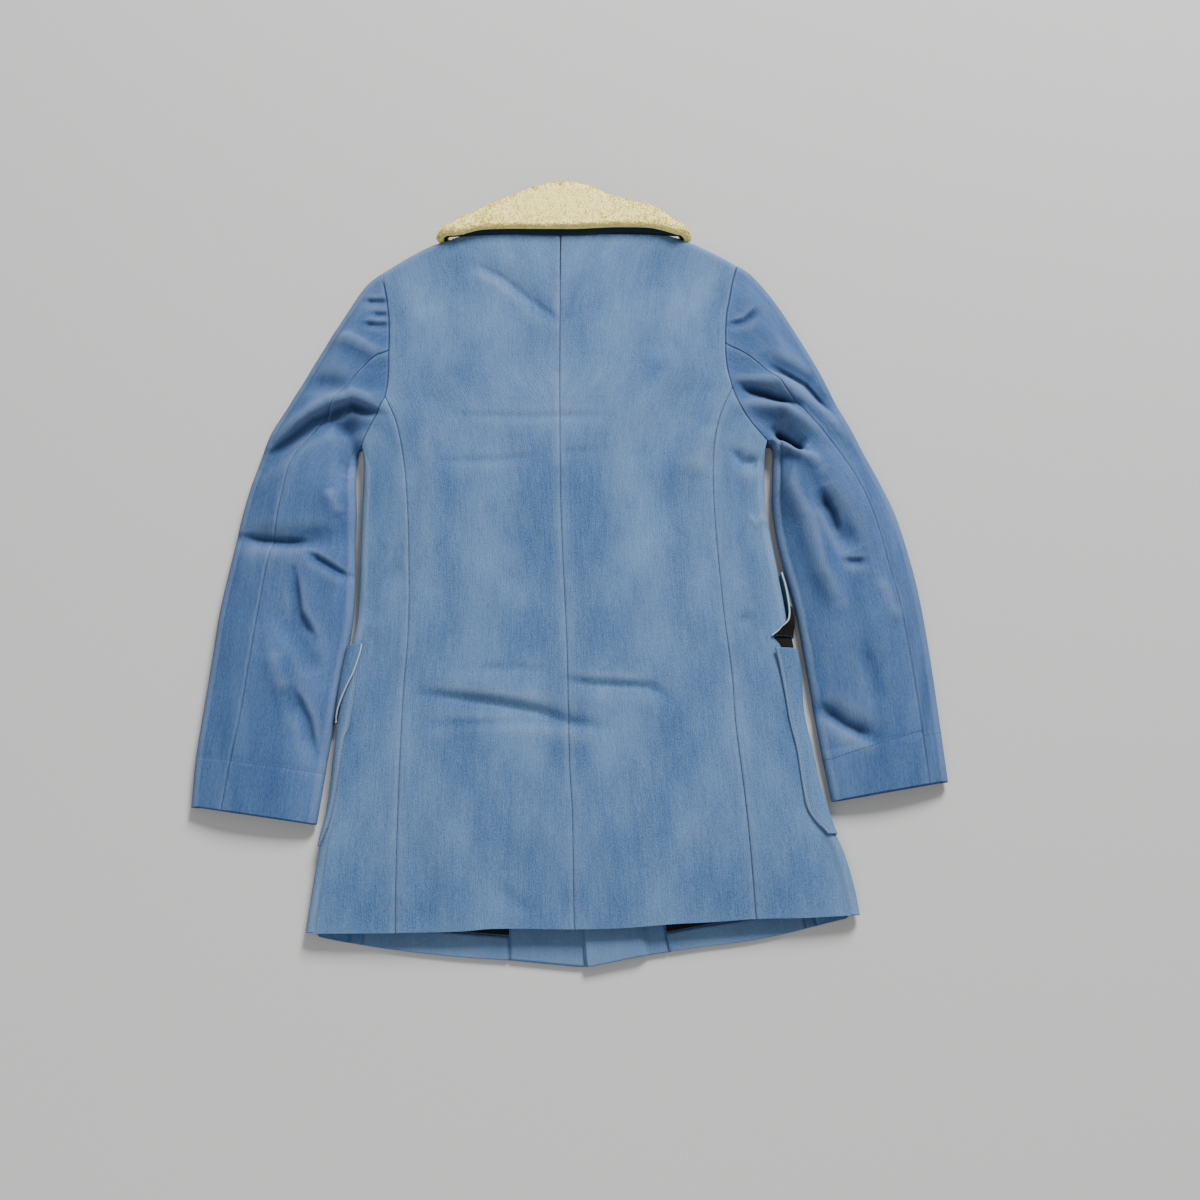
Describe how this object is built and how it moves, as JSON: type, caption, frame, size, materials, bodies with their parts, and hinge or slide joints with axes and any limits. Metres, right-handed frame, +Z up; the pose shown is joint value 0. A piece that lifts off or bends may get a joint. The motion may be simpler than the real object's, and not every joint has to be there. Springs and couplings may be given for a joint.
{
  "type": "denim car coat",
  "caption": "Hip-length denim car coat with a cream fleece collar and flapped patch pockets, lying flat face down with its back up and its sleeves beside it.",
  "frame": {"origin": "on the surface the coat lies on, under the middle of its bounding box", "axes": "+X to the coat's right sleeve, +Y from the hem towards the collar, +Z up off the surface"},
  "size_m": [0.7754, 0.9056, 0.034],
  "materials": {
    "denim_body": "washed mid-blue denim twill, matt",
    "denim_sleeve": "washed mid-blue denim twill, a little bluer, matt",
    "denim_inside": "inside facing of the same denim, paler, matt",
    "denim_shade": "dark teal-blue under-collar cloth, matt",
    "fleece": "cream curly fleece, matt",
    "lining": "dark brown-black lining, slightly smooth"
  },
  "bodies": {
    "root": {"back_left": "denim_body", "side_left": "denim_body", "front_left": "denim_body", "pocket_left": "denim_body", "flap_left": "denim_body", "facing_left": "denim_inside", "turn_up_left": "denim_inside", "lining_left": "lining", "sleeve_left_upper": "denim_sleeve", "sleeve_left_under": "denim_sleeve", "back_right": "denim_body", "side_right": "denim_body", "front_right": "denim_body", "pocket_right": "denim_body", "flap_right": "denim_body", "facing_right": "denim_inside", "turn_up_right": "denim_inside", "lining_right": "lining", "sleeve_right_upper": "denim_sleeve", "sleeve_right_under": "denim_sleeve", "pocket_lining_right": "lining", "collar_top": "fleece", "collar_under": "denim_shade"}
  },
  "joints": []
}
